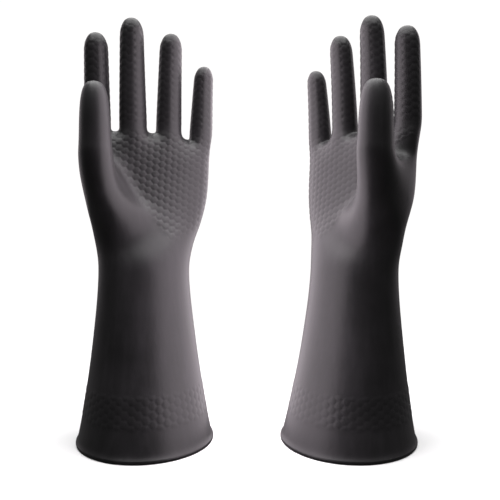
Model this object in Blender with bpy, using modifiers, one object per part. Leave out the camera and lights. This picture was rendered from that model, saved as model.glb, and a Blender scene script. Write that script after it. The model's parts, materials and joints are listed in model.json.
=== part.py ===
"""A pair of long rubber insulating gloves, standing on their flared cuffs.

Each glove is one dipped shell of even thickness. Here the shell is divided into
stiffer pieces (cuff, palm, finger and thumb segments) and the soft sleeves of
rubber between them that bend. Everything hangs from the two cuffs.

A glove is laid out as a right hand: +X towards the thumb, -Y the way the palm
faces, +Z up the fingers, with the middle of the cuff's rim at the origin.
"""
import math

import bpy
import bmesh
from mathutils import Matrix, Vector

MM = 0.001

# ---- The glove's driving sizes ----
CUFF_HEIGHT = 150 * MM        # floor to the wrist's bending line
HAND_HEIGHT = 111 * MM        # wrist's bending line to the webs between the fingers
RIM_RADIUS = 55.5 * MM        # outside of the cuff wall just above its rolled rim
WRIST_WIDTH = 74.5 * MM
WRIST_DEPTH = 67.5 * MM
WRIST_SIDE = -1.4 * MM        # where the wrist's middle lies, across from the cuff's axis
WRIST_BACK = 7.2 * MM         # and behind it
PALM_WIDTH = 107 * MM         # across the knuckles
PALM_DEPTH = 31 * MM          # palm to back of the hand at the knuckles
PALM_SIDE = -9.5 * MM         # how far the knuckles' middle lies from the cuff's axis
PALM_BACK = 26.5 * MM         # how far behind the cuff's axis the knuckles lie
WEB_DROP = 9 * MM             # how far a web slopes down to the palm and to the back
WALL = 1.6 * MM               # rubber's thickness
GAP = 0.4 * MM                # space left between neighbouring pieces
BEAD_TUBE = 3.2 * MM          # thickness of the rolled rim
FINGER_FULLNESS = 1.0         # scales every finger's girth

# ---- How far each bend goes, which sets how long its sleeve is ----
WRIST_BEND = math.radians(40)
ROOT_BEND = math.radians(70)
KNUCKLE_BEND = math.radians(80)
THUMB_SWING = math.radians(40)
THUMB_BEND = math.radians(70)
SLEEVE_MARGIN = 1.5 * MM      # half of a sleeve's length where nothing folds

# ---- Where the pair stands ----
STAND_APART = 171 * MM        # between the two cuffs' axes
LEFT_TURN = math.radians(16.5)
RIGHT_TURN = math.radians(-45)

# name, share of the palm's half width where it stands, web height, length, half width at root
# and tip, how far the root and tip lie back from the cuff's axis, sideways lean of the tip
FINGERS = (
    ("index", 0.794, 0 * MM, 77 * MM, 10.9 * MM, 9.6 * MM, 31 * MM, 26 * MM, 0.5 * MM),
    ("middle", 0.252, 0 * MM, 89 * MM, 11.6 * MM, 9.6 * MM, 26 * MM, 18.5 * MM, 0.8 * MM),
    ("ring", -0.318, -1 * MM, 80 * MM, 10.9 * MM, 9.2 * MM, 27 * MM, 21 * MM, -2.0 * MM),
    ("little", -0.850, -6 * MM, 60 * MM, 10.0 * MM, 8.0 * MM, 28 * MM, 24 * MM, -2.5 * MM),
)
THUMB_SIDE = 38 * MM          # thumb's middle, across from the cuff's axis
THUMB_FORWARD = 22 * MM       # and in front of it
THUMB_LENGTH = 57 * MM        # web to tip
THUMB_WEB = -28 * MM          # height of the thumb's web under the fingers' webs
THUMB_WIDTH = 25 * MM
THUMB_DEPTH = 33 * MM
THUMB_TURN = math.radians(15) # the thumb folds this much forward of straight across

COLUMNS = 26
ROW = COLUMNS // 2 - 1


def ring_swell(count):
    """How much a cage ring of this many points is enlarged to smooth to its true size."""
    return 3 / (2 + math.cos(2 * math.pi / count))


def mix(low, high, share):
    return low + (high - low) * share


def half_depth(share, flatness):
    """Half depth of a hand section at a share of its half width, from oval (0) to slab (1)."""
    share = min(1.0, abs(share))
    return mix(math.sqrt(1 - share ** 2), (1 - share ** 3.2) ** (1 / 2.6), flatness)


class Cage:
    """The coarse cage of one glove, gathered as points and faces with a piece each."""

    def __init__(self):
        self.points = []
        self.faces = []
        self.pieces = []

    def point(self, x, y, z):
        self.points.append((x, y, z))
        return len(self.points) - 1

    def face(self, corners, piece):
        self.faces.append(tuple(corners))
        self.pieces.append(piece)

    def band(self, low, high, piece, skip=()):
        """Join two closed rings of equal count with a row of faces."""
        count = len(low)
        for i in range(count):
            if i not in skip:
                j = (i + 1) % count
                self.face((low[i], low[j], high[j], high[i]), piece)


def oval_ring(cage, middle, half, height):
    """A round ring of the cuff. height is a number or a function of how far back a point lies."""
    ring = []
    swell = ring_swell(COLUMNS)
    for i in range(COLUMNS):
        turn = 2 * math.pi * i / COLUMNS
        x = half[0] * swell * math.cos(turn)
        y = half[1] * swell * math.sin(turn)
        z = height(middle[1] + y) if callable(height) else height
        ring.append(cage.point(middle[0] + x, middle[1] + y, z))
    return ring


def even_columns(half_width, thumb_inner=None):
    """Where the twelve columns of a hand ring lie across it, from the thumb side.

    With thumb_inner the first three columns spread from the edge to that place."""
    if thumb_inner is None:
        return [mix(half_width, -half_width, (n + 0.5) / ROW) for n in range(ROW)]
    thumb = [mix(half_width, thumb_inner, (n + 0.7) / 2.7) for n in range(3)]
    return thumb + [mix(thumb_inner, -half_width, (n + 1) / 9.5) for n in range(ROW - 3)]


def hand_ring(cage, middle, half, height, flatness, front=None, back=None):
    """A ring of the hand. front and back give the places of its columns across the hand."""
    ring = []
    swell = ring_swell(COLUMNS)
    for i in range(COLUMNS):
        turn = 2 * math.pi * i / COLUMNS
        x = half[0] * swell * math.cos(turn)
        y = half[1] * swell * math.sin(turn)
        if back is not None and i not in (0, ROW + 1):
            x = back[i - 1] if i <= ROW else front[COLUMNS - 1 - i]
            y = half[1] * half_depth(x / half[0], flatness) * (1 if i <= ROW else -1)
        z = height(middle[1] + y) if callable(height) else height
        ring.append(cage.point(middle[0] + x, middle[1] + y, z))
    return ring


def wedge(hinge, reach, tangent, side):
    """Height of a sleeve's edge: it stands back from the hinge by as much as the bend needs."""
    return hinge + side * (SLEEVE_MARGIN + max(0.0, reach) * tangent)


def finger_plan(number):
    """Every height and half width that one finger needs."""
    name, across, web, length, root_half, tip_half, root_back, tip_back, lean = FINGERS[number]
    webs = CUFF_HEIGHT + HAND_HEIGHT
    root_half = root_half * FINGER_FULLNESS
    tip_half = tip_half * FINGER_FULLNESS
    foot = webs + web
    tip = foot + length
    root_fold = SLEEVE_MARGIN + root_half * math.tan(ROOT_BEND / 2)
    root_hinge = foot + 1.2 * MM + root_fold
    knuckle = mix(root_hinge, tip, 0.46)
    plan = {
        "name": name,
        "foot": foot,
        "tip": tip,
        "root_hinge": root_hinge,
        "knuckle": knuckle,
    }

    def middle(height):
        share = (height - foot) / length
        x = PALM_SIDE + across * PALM_WIDTH / 2 + lean * share
        y = mix(root_back, tip_back, share ** 1.5 if share > 0 else 0.0)
        return Vector((x, y, height))

    def half(height):
        share = max(0.0, (height - foot) / length)
        wide = mix(root_half, tip_half, min(1.0, share * 1.15))
        return wide, wide * 1.06

    plan["middle"] = middle
    plan["half"] = half
    return plan


def finger_ring(cage, plan, height, grow=1.0, hinge=None, tangent=0.0, side=0):
    """An eight-point ring of a finger. With a hinge, its palm side stands back from it."""
    ring = []
    middle = plan["middle"](height)
    wide, deep = plan["half"](height)
    swell = ring_swell(8) * grow
    for i in range(8):
        turn = 2 * math.pi * i / 8
        x = wide * swell * math.cos(turn)
        y = deep * swell * math.sin(turn)
        z = height if hinge is None else wedge(hinge, -y, tangent, side)
        ring.append(cage.point(middle.x + x, middle.y + y, z))
    return ring


def thumb_plan():
    web = CUFF_HEIGHT + HAND_HEIGHT + THUMB_WEB
    tip = web + THUMB_LENGTH
    root_hinge = web + 2.4 * MM + SLEEVE_MARGIN + THUMB_WIDTH / 2 * math.tan(THUMB_SWING / 2)
    knuckle = mix(root_hinge, tip, 0.5)
    across = Vector((math.cos(THUMB_TURN), math.sin(THUMB_TURN)))
    return {"web": web, "tip": tip, "root_hinge": root_hinge, "knuckle": knuckle, "across": across}


def thumb_ring(cage, plan, height, grow, hinge=None, tangent=0.0, side=0, both=False):
    """A twelve-point ring of the thumb, starting at its outer back corner."""
    ring = []
    swell = ring_swell(12) * grow
    for i in range(12):
        turn = math.pi / 4 + 2 * math.pi * i / 12
        x = THUMB_WIDTH / 2 * swell * math.cos(turn)
        y = THUMB_DEPTH / 2 * swell * math.sin(turn)
        reach = -(x * plan["across"].x + y * plan["across"].y)
        reach = abs(reach) if both else reach
        z = height if hinge is None else wedge(hinge, reach, tangent, side)
        ring.append(cage.point(THUMB_SIDE + x, -THUMB_FORWARD + y, z))
    return ring


def build_cage():
    cage = Cage()
    wrist = CUFF_HEIGHT
    webs = CUFF_HEIGHT + HAND_HEIGHT
    wrist_half = (WRIST_WIDTH / 2, WRIST_DEPTH / 2)
    bow = math.tan(WRIST_BEND / 2)

    # Cuff: the height's share of the cuff, and how much of the rim's flare is left there.
    rings = []
    foot_share = (BEAD_TUBE + GAP / 2) / CUFF_HEIGHT
    for share, flare in ((foot_share, 1.0), (0.16, 0.775), (0.47, 0.365), (0.76, 0.085)):
        half = [mix(w, RIM_RADIUS, flare) for w in wrist_half]
        lean = min(0.9, share * 1.45) if share > 0.05 else 0.0
        rings.append(oval_ring(cage, (WRIST_SIDE * lean, WRIST_BACK * lean), half, share * CUFF_HEIGHT))
    low_edge = oval_ring(
        cage, (WRIST_SIDE, WRIST_BACK), wrist_half,
        lambda y: wedge(wrist, abs(y - WRIST_BACK), bow, -1),
    )
    rings.append(low_edge)
    for low, high in zip(rings, rings[1:]):
        cage.band(low, high, "cuff")

    palm_half = (PALM_WIDTH / 2, PALM_DEPTH / 2)
    high_edge = hand_ring(
        cage,
        (mix(WRIST_SIDE, PALM_SIDE, 0.15), mix(WRIST_BACK, PALM_BACK, 0.16)),
        (mix(wrist_half[0], palm_half[0], 0.10), mix(wrist_half[1], palm_half[1], 0.10)),
        lambda y: wedge(wrist, abs(y - WRIST_BACK), bow, 1),
        0.0,
    )
    cage.band(low_edge, high_edge, "wrist_sleeve")
    # Hand: height, sideways, backward, width and depth shares, flatness, thumb's inner edge.
    stations = (
        (0.27, 0.46, 0.52, 0.62, 0.50, 0.2, 4 * MM),
        (0.45, 0.74, 0.75, 0.88, 0.73, 0.7, 15 * MM),
        (0.63, 0.90, 0.90, 0.97, 0.88, 1.0, 26 * MM),
        (0.77, 0.97, 0.97, 1.0, 0.96, 1.0, 31 * MM),
    )
    hand = [high_edge]
    for up, side, back, wide, deep, flat, thumb_inner in stations:
        middle = (mix(WRIST_SIDE, PALM_SIDE, side), mix(WRIST_BACK, PALM_BACK, back))
        half = (mix(wrist_half[0], palm_half[0], wide), mix(wrist_half[1], palm_half[1], deep))
        height = wrist + HAND_HEIGHT * up
        edges = even_columns(half[0], thumb_inner)
        hand.append(hand_ring(cage, middle, half, height, flat, edges, even_columns(half[0])))

    # The topmost hand ring takes its columns from the fingers that stand on it.
    plans = [finger_plan(n) for n in range(4)]
    columns = []
    for plan in plans:
        middle = plan["middle"](plan["foot"])
        wide = plan["half"](plan["foot"])[0] * ring_swell(8) * math.sqrt(0.5)
        columns += [x - PALM_SIDE for x in (middle.x + wide, middle.x, middle.x - wide)]
    low_knuckles = webs - WEB_DROP
    knuckles = hand_ring(cage, (PALM_SIDE, PALM_BACK), palm_half, low_knuckles, 1.0, columns, columns)
    for number, plan in enumerate(plans):
        middle = plan["middle"](plan["foot"])
        for column in range(3 * number, 3 * number + 3):
            for i in (column + 1, COLUMNS - 1 - column):
                x, y, z = cage.points[knuckles[i]]
                front = 1 if i <= ROW else -1
                y = mix(y, middle.y + front * plan["half"](plan["foot"])[1] * (1.08 if column % 3 == 1 else 0.85), 0.6)
                cage.points[knuckles[i]] = (x, y, plan["foot"] - WEB_DROP)
    hand.append(knuckles)

    # The thumb grows from three columns by three rows on the thumb side of the palm.
    patch = (COLUMNS - 3, COLUMNS - 2, COLUMNS - 1)
    for number, (low, high) in enumerate(zip(hand, hand[1:])):
        cage.band(low, high, "palm", skip=patch if 1 <= number <= 3 else ())
    last = COLUMNS - 3
    foot_loop = [
        hand[4][0], hand[4][COLUMNS - 1], hand[4][COLUMNS - 2], hand[4][last],
        hand[3][last], hand[2][last],
        hand[1][last], hand[1][COLUMNS - 2], hand[1][COLUMNS - 1], hand[1][0],
        hand[2][0], hand[3][0],
    ]
    thumb = thumb_plan()
    swell = ring_swell(12)
    ball = []
    for i in range(12):
        turn = math.pi / 4 + 2 * math.pi * i / 12
        x = THUMB_SIDE - 1.5 * MM + THUMB_WIDTH * 0.57 * swell * math.cos(turn)
        y = -THUMB_FORWARD + 8 * MM + THUMB_DEPTH * 0.50 * swell * math.sin(turn)
        z = thumb["web"] - 17 * MM + 15 * MM * math.sin(turn)
        ball.append(cage.point(x, y, z))
    cage.band(foot_loop, ball, "palm")
    swing = math.tan(THUMB_SWING / 2)
    bend = math.tan(THUMB_BEND / 2)
    root = thumb["root_hinge"]
    knuckle = thumb["knuckle"]
    tip = thumb["tip"]
    loops = [
        (thumb_ring(cage, thumb, 0, 1.04, root, swing, -1, True), "palm"),
        (thumb_ring(cage, thumb, 0, 1.0, root, swing, 1, True), "thumb_root_sleeve"),
        (thumb_ring(cage, thumb, 0, 0.95, knuckle, bend, -1), "thumb_proximal"),
        (thumb_ring(cage, thumb, 0, 0.90, knuckle, bend, 1), "thumb_knuckle_sleeve"),
        (thumb_ring(cage, thumb, mix(knuckle, tip, 0.72), 0.80), "thumb_distal"),
        (thumb_ring(cage, thumb, tip + 0.6 * MM, 0.44), "thumb_distal"),
    ]
    below = ball
    for loop, piece in loops:
        cage.band(below, loop, piece)
        below = loop
    cage.face(below, "thumb_distal")

    # Fingers: each takes the loop of hand points around its root, shared webs included.
    webs_between = []
    for number in range(3):
        one, other = plans[number], plans[number + 1]
        height = min(one["foot"], other["foot"])
        pair = []
        for plan, side in ((one, -1), (other, 1)):
            middle = plan["middle"](plan["foot"])
            wide = plan["half"](plan["foot"])[0] * ring_swell(8)
            pair.append(cage.point(middle.x + side * wide, middle.y, height))
        webs_between.append(pair)
        front = [COLUMNS - 1 - (3 * number + 2), COLUMNS - 1 - (3 * number + 3)]
        back = [3 * number + 3, 3 * number + 4]
        near, far = pair
        cage.face((knuckles[front[0]], near, far, knuckles[front[1]]), "palm")
        cage.face((near, knuckles[back[0]], knuckles[back[1]], far), "palm")
    for number, plan in enumerate(plans):
        outer = knuckles[0] if number == 0 else webs_between[number - 1][1]
        inner = knuckles[ROW + 1] if number == 3 else webs_between[number][0]
        back = [knuckles[3 * number + 1 + k] for k in range(3)]
        front = [knuckles[COLUMNS - 1 - (3 * number + k)] for k in (2, 1, 0)]
        foot_loop = [outer, *back, inner, *front]
        root = plan["root_hinge"]
        knuckle = plan["knuckle"]
        tip = plan["tip"]
        tip_half = plan["half"](tip)[0]
        root_tan = math.tan(ROOT_BEND / 2)
        knuckle_tan = math.tan(KNUCKLE_BEND / 2)
        loops = [
            (finger_ring(cage, plan, root, 1.0, root, root_tan, -1), "palm"),
            (finger_ring(cage, plan, root, 1.0, root, root_tan, 1), "root_sleeve"),
            (finger_ring(cage, plan, knuckle, 1.0, knuckle, knuckle_tan, -1), "proximal"),
            (finger_ring(cage, plan, knuckle, 1.0, knuckle, knuckle_tan, 1), "knuckle_sleeve"),
            (finger_ring(cage, plan, tip - tip_half * 0.85), "distal"),
            (finger_ring(cage, plan, tip + tip_half * 0.08, 0.52), "distal"),
        ]
        below = foot_loop
        for loop, piece in loops:
            cage.band(below, loop, piece if piece == "palm" else plan["name"] + "_" + piece)
            below = loop
        cage.face(below, plan["name"] + "_distal")
    return cage


def smooth_shell(cage):
    """Smooth the cage once and give it its wall. Each face's material index tells its piece.

    The whole shell gets its wall before it is cut, so both sides of a cut are parallel."""
    names = list(dict.fromkeys(cage.pieces))
    mesh = bpy.data.meshes.new("glove_cage")
    mesh.from_pydata(cage.points, [], cage.faces)
    for name in names:
        mesh.materials.append(bpy.data.materials.new("piece_" + name))
    for polygon, piece in zip(mesh.polygons, cage.pieces):
        polygon.material_index = names.index(piece)
    holder = bpy.data.objects.new("glove_cage", mesh)
    bpy.context.scene.collection.objects.link(holder)
    smooth = holder.modifiers.new("smooth", "SUBSURF")
    smooth.levels = 1
    smooth.render_levels = 1
    thick = holder.modifiers.new("wall", "SOLIDIFY")
    thick.thickness = WALL
    thick.offset = -1
    thick.use_even_offset = True
    bpy.context.view_layer.update()
    shell = bpy.data.meshes.new_from_object(holder.evaluated_get(bpy.context.evaluated_depsgraph_get()))
    bpy.data.objects.remove(holder)
    return shell, names


def open_loops(bm):
    """The open edges of a cut piece, gathered into closed loops."""
    left = {e for e in bm.edges if e.is_boundary}
    loops = []
    while left:
        loop = [left.pop()]
        for edge in loop:
            for other in (e for v in edge.verts for e in v.link_edges if e in left):
                left.discard(other)
                loop.append(other)
        loops.append(loop)
    return loops


def close_cuts(bm):
    """Close the wall at each cut with a band of faces from its outer loop to its inner one."""
    def middle(loop):
        return sum((v.co for e in loop for v in e.verts), Vector()) / (2 * len(loop))

    loops = open_loops(bm)
    while loops:
        loop = loops.pop()
        partner = min(loops, key=lambda other: (middle(other) - middle(loop)).length)
        loops.remove(partner)
        bmesh.ops.bridge_loops(bm, edges=loop + partner)
    bmesh.ops.recalc_face_normals(bm, faces=bm.faces)


def piece_mesh(shell, number, name, hand, pivot):
    """One piece of the shell, mirrored for a left hand and placed about its own pivot."""
    bm = bmesh.new()
    bm.from_mesh(shell)
    others = [f for f in bm.faces if f.material_index != number]
    bmesh.ops.delete(bm, geom=others, context="FACES")
    bmesh.ops.delete(bm, geom=[v for v in bm.verts if not v.link_faces], context="VERTS")
    edge_points = [v for v in bm.verts if v.is_boundary]
    moves = []
    for vert in edge_points:
        inward = [e.other_vert(vert).co - vert.co for e in vert.link_edges if not e.is_boundary]
        step = sum(inward, Vector()).normalized() * (GAP / 2)
        moves.append((vert, step))
    for vert, step in moves:
        vert.co += step
    close_cuts(bm)
    if hand < 0:
        bmesh.ops.scale(bm, vec=(-1, 1, 1), verts=bm.verts)
        bmesh.ops.reverse_faces(bm, faces=bm.faces)
    bmesh.ops.translate(bm, vec=-pivot, verts=bm.verts)
    for face in bm.faces:
        face.smooth = True
        face.material_index = 0
    mesh = bpy.data.meshes.new(name)
    bm.to_mesh(mesh)
    bm.free()
    return mesh


def rubber(name, shade):
    material = bpy.data.materials.new(name)
    material.use_nodes = True
    shader = material.node_tree.nodes["Principled BSDF"]
    shader.inputs["Base Color"].default_value = (shade, shade, shade * 1.05, 1)
    shader.inputs["Roughness"].default_value = 0.4
    material.diffuse_color = (shade, shade, shade * 1.05, 1)
    return material


def add_object(collection, name, mesh, parent, location, shade):
    mesh.materials.clear()
    mesh.materials.append(rubber(name + "_rubber", shade))
    made = bpy.data.objects.new(name, mesh)
    made.parent = parent
    made.location = location
    collection.objects.link(made)
    return made


def bead_mesh(name):
    """The rolled rim: a rounded bead with a flat underside, spun about the cuff's axis."""
    outer = RIM_RADIUS + BEAD_TUBE * 0.55
    inner = outer - BEAD_TUBE * 1.1
    top = BEAD_TUBE - GAP
    cut = BEAD_TUBE * 0.28
    profile = (
        (inner + cut, 0), (outer - cut, 0), (outer, cut),
        (outer, top - cut), (outer - cut, top), (inner + cut, top),
        (inner, top - cut), (inner, cut),
    )
    bm = bmesh.new()
    ring = [bm.verts.new((x, 0, z)) for x, z in profile]
    edges = [bm.edges.new((ring[i], ring[(i + 1) % len(ring)])) for i in range(len(ring))]
    bmesh.ops.spin(
        bm, geom=ring + edges, cent=(0, 0, 0), axis=(0, 0, 1),
        angle=2 * math.pi, steps=2 * COLUMNS, use_merge=True,
    )
    bmesh.ops.recalc_face_normals(bm, faces=bm.faces)
    mesh = bpy.data.meshes.new(name)
    bm.to_mesh(mesh)
    bm.free()
    mesh.shade_smooth()
    mesh.set_sharp_from_angle(angle=math.radians(35))
    return mesh


def build_glove(collection, label, hand, place, turn):
    """Make one glove's pieces. hand is 1 for right and -1 for left."""
    shell, names = smooth_shell(build_cage())
    origin = bpy.data.objects.new(label + "_stand", None)
    origin.location = place
    origin.rotation_euler = (0, 0, turn)
    collection.objects.link(origin)

    def mirrored(point):
        return Vector((point.x * hand, point.y, point.z))

    wrist_pivot = Vector((WRIST_SIDE, WRIST_BACK, CUFF_HEIGHT))
    pivots = {"cuff": Vector(), "wrist_sleeve": wrist_pivot, "palm": wrist_pivot}
    thumb = thumb_plan()
    base = Vector((THUMB_SIDE, -THUMB_FORWARD, 0))
    for piece, height in (("root_sleeve", "root_hinge"), ("proximal", "root_hinge"), ("knuckle_sleeve", "knuckle"), ("distal", "knuckle")):
        pivots["thumb_" + piece] = base + Vector((0, 0, thumb[height]))
        for number in range(4):
            plan = finger_plan(number)
            pivots[plan["name"] + "_" + piece] = plan["middle"](plan[height])
    parents = {"wrist_sleeve": "cuff", "palm": "cuff"}
    for digit in ("thumb", "index", "middle", "ring", "little"):
        parents[digit + "_root_sleeve"] = "palm"
        parents[digit + "_proximal"] = "palm"
        parents[digit + "_knuckle_sleeve"] = digit + "_proximal"
        parents[digit + "_distal"] = digit + "_proximal"
    made = {}
    for piece in sorted(names, key=lambda n: (n != "cuff", n != "palm", "proximal" not in n)):
        pivot = mirrored(pivots[piece])
        mesh = piece_mesh(shell, names.index(piece), label + "_" + piece, hand, pivot)
        parent = made[parents[piece]] if piece in parents else origin
        offset = pivot - mirrored(pivots[parents[piece]]) if piece in parents else pivot
        shade = 0.05 if "sleeve" in piece else 0.03
        made[piece] = add_object(collection, label + "_" + piece, mesh, parent, offset, shade)
    bead = bead_mesh(label + "_cuff_bead")
    add_object(collection, label + "_cuff_bead", bead, made["cuff"], Vector(), 0.03)
    bpy.data.meshes.remove(shell)


def middle_on_floor(collection):
    """Shift the two stands so that the middle of the pair's footprint is the origin."""
    bpy.context.view_layer.update()
    depsgraph = bpy.context.evaluated_depsgraph_get()
    corners = []
    for part in collection.objects:
        if part.type == "MESH":
            solid = part.evaluated_get(depsgraph)
            corners += [part.matrix_world @ v.co for v in solid.data.vertices]
    middle = Vector()
    for axis in (0, 1):
        middle[axis] = (min(c[axis] for c in corners) + max(c[axis] for c in corners)) / 2
    for part in collection.objects:
        if part.parent is None:
            part.location = part.location - middle


for old in list(bpy.data.objects):
    bpy.data.objects.remove(old)
gloves = bpy.data.collections.new("electrical_insulating_gloves")
bpy.context.scene.collection.children.link(gloves)
build_glove(gloves, "left", -1, Vector((-STAND_APART / 2, 0, 0)), LEFT_TURN)
build_glove(gloves, "right", 1, Vector((STAND_APART / 2, 0, 0)), RIGHT_TURN)
middle_on_floor(gloves)
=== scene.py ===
# %% [markdown]
# # A pair of long rubber insulating gloves
#
# Each real glove is one seamless shell of black natural rubber. A glazed china
# hand is dipped in liquid rubber again and again until the wall is about
# 1.6 mm thick, then the rubber is cured and peeled off. The glove keeps the
# hand's shape, so it can stand up on its own flared cuff.
#
# This lesson builds the pair in the same order a former would be carved: cuff,
# hand, fingers, thumb, then the raised scale pattern, the wall and the rim.

# %% Load the frame
import json
import math

import bmesh
import bpy
import numpy as np
from mathutils import Matrix, Vector


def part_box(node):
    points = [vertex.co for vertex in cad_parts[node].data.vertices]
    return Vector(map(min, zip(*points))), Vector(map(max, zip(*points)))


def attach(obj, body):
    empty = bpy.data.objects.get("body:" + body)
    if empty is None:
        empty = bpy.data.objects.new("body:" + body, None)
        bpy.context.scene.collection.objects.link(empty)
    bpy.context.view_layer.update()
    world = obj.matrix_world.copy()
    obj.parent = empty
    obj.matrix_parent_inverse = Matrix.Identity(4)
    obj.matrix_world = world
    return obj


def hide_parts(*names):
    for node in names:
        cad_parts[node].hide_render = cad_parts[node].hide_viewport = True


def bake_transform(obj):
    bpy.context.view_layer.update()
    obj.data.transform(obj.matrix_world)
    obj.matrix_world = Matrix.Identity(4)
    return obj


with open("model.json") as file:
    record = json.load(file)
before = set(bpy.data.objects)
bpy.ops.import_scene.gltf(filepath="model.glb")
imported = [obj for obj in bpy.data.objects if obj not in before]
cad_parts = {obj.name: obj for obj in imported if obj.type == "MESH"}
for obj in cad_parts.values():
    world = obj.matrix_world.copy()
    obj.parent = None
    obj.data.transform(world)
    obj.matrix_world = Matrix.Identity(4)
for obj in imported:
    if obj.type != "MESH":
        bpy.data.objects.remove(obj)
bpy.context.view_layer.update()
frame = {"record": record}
MM = 0.001
joints = {j["name"]: j for j in frame["record"]["behaviour"]["joints"]}

# %% [markdown]
# ## Where each glove stands
#
# A glove is shaped once, as a right hand in its own frame: +X to the thumb, -Y
# the way the palm faces, +Z up, with the middle of the rim at the origin. The
# round rim bead tells where a glove stands, and the wrist's bending axis, which
# runs straight across the palm, tells how far it is turned.

# %% Read each glove's place from the frame
def stand_of(side):
    """The matrix that carries a shape from the glove's own frame to where it stands."""
    low, high = (Vector(corner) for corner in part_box(side + "_cuff_bead"))
    middle = (low + high) / 2
    across = Vector(joints[side + "_wrist"]["axis"])
    turn = Matrix.Rotation(math.atan2(across.y, across.x), 4, "Z")
    mirror = Matrix.Diagonal((1 if side == "right" else -1, 1, 1, 1))
    return Matrix.Translation((middle.x, middle.y, 0)) @ turn @ mirror


stands = {side: stand_of(side) for side in ("left", "right")}
to_glove = stands["right"].inverted()


def bend_line(joint):
    """A bending joint's middle, in the glove's own frame."""
    return to_glove @ Vector(joints["right_" + joint]["pos_m"])


wrist = bend_line("wrist")
rim_radius = (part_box("right_cuff_bead")[1][0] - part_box("right_cuff_bead")[0][0]) / 2
bead_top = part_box("right_cuff")[0][2]
print("wrist bends at", wrist, "rim radius", round(rim_radius, 4), "bead top", round(bead_top, 4))

# %% [markdown]
# ## One ring at a time
#
# The shell could be sculpted or scanned, but a coarse cage under a Subdivision
# Surface gives a clean, even skin that is easy to adjust. The cage starts as a
# circle of 26 points and grows by extruding its open edge ring by ring, just as
# a knitter adds rows. 26 is chosen so that three columns in front and three
# behind stand under each finger, with one more at each side of the hand.
#
# A ring of points shrinks a little when it is smoothed, so each ring is drawn
# slightly larger than the shape wanted.

# %% Helpers that grow the cage
COLUMNS = 26
ROW = COLUMNS // 2 - 1  # columns across the back, or the front, between the two at the sides


def swell(count):
    """How much larger a ring of this many points is drawn, to make up for smoothing."""
    return 3 / (2 + math.cos(2 * math.pi / count))


def mix(low, high, share):
    return low + (high - low) * share


def smooth_step(low, high, value):
    share = np.clip((value - low) / (high - low), 0, 1)
    return share * share * (3 - 2 * share)


def edges_of(bm, ring):
    return [bm.edges.get((ring[n - 1], ring[n])) for n in range(len(ring))]


def raise_ring(bm, ring, places, zone):
    """Extrude a closed ring of edges and put each new point in its place."""
    made = bmesh.ops.extrude_edge_only(bm, edges=edges_of(bm, ring))["geom"]
    fresh = {v for v in made if isinstance(v, bmesh.types.BMVert)}
    above = []
    for old, place in zip(ring, places):
        new = next(e.other_vert(old) for e in old.link_edges if e.other_vert(old) in fresh)
        new.co = place
        above.append(new)
    for face in made:
        if isinstance(face, bmesh.types.BMFace):
            face.material_index = zone
    return above


def turns(count, start=0.0):
    return [start + 2 * math.pi * n / count for n in range(count)]


print("columns", COLUMNS, "with", ROW, "across the back; rings drawn", round(swell(COLUMNS), 4), "as large")

# %% [markdown]
# ## The cuff
#
# The cuff is a long cone that lets a sleeved forearm in. It flares a little
# more just above the rim, where the rubber was rolled, and leans slightly back
# towards the wrist, because the former's wrist isn't over the middle of its
# base. Each ring is an oval given by its height and how much of the rim's flare
# is left there. The rings crowd together low down, where a raised band needs a
# finer skin.

# %% Start the cuff
WRIST_HALF = Vector((37.25, 33.75)) * MM
CUFF_RINGS = (  # height above the rim, share of the flare left
    (0.0, 1.075), (2.2, 1.0), (6.0, 0.952), (11.0, 0.90), (22.0, 0.785), (33.0, 0.68),
    (44.0, 0.585), (56.0, 0.485), (72.0, 0.36), (112.0, 0.088),
)
LIP = 1.76 * MM  # how far the rolled rim stands out past the cuff
LEAN_RATE, LEAN_LIMIT = 1.45, 0.9
ZONES = {"cuff": 0, "wrist": 1, "palm": 2}


def cuff_ring(height, flare):
    lean = min(LEAN_LIMIT, LEAN_RATE * (height - bead_top) / wrist.z)
    wide, deep = (mix(w, rim_radius - LIP, flare) * swell(COLUMNS) for w in WRIST_HALF)
    middle = Vector((wrist.x * lean, wrist.y * lean, height))
    return [middle + Vector((wide * math.cos(t), deep * math.sin(t), 0)) for t in turns(COLUMNS)]


cage = bmesh.new()
bmesh.ops.create_circle(cage, segments=COLUMNS, radius=rim_radius)
ring = sorted(cage.verts, key=lambda v: math.atan2(v.co.y, v.co.x) % (2 * math.pi - 1e-4))
for number, (height, flare) in enumerate(CUFF_RINGS):
    places = cuff_ring(bead_top + height * MM, flare)
    if number == 0:
        for point, place in zip(ring, places):
            point.co = place
    else:
        ring = raise_ring(cage, ring, places, ZONES["cuff"])
print("cuff rings", len(CUFF_RINGS), "faces", len(cage.faces))

# %% [markdown]
# ## The wrist and the hand
#
# Above the cuff the section changes from nearly round at the wrist to a flat
# slab at the knuckles, and drifts back and towards the little finger. A table of
# stations says so: height as a share of the hand, then how far the ring has
# gone from the wrist's place, width and depth to the knuckles'. The thumb's
# three columns spread over the ball of the thumb low down and gather under the
# first finger higher up.

# %% Grow the wrist and the hand
KNUCKLE_MIDDLE = Vector((-9.5, 26.5)) * MM
KNUCKLE_HALF = Vector((53.5, 15.5)) * MM
HAND_HEIGHT = 111 * MM
WEB_DROP = 9 * MM
HAND_RINGS = (  # height, sideways, back, width, depth, flatness, thumb's inner edge in mm
    (-0.09, 0.0, 0.0, 0.0, 0.0, 0.0, None),
    (0.015, 0.10, 0.08, 0.05, 0.03, 0.0, None),
    (0.13, 0.22, 0.26, 0.24, 0.17, 0.05, None),
    (0.27, 0.46, 0.52, 0.62, 0.50, 0.2, 4),
    (0.45, 0.74, 0.75, 0.88, 0.73, 0.7, 15),
    (0.63, 0.90, 0.90, 0.97, 0.88, 1.0, 26),
    (0.77, 0.97, 0.97, 1.0, 0.96, 1.0, 31),
)


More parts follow.
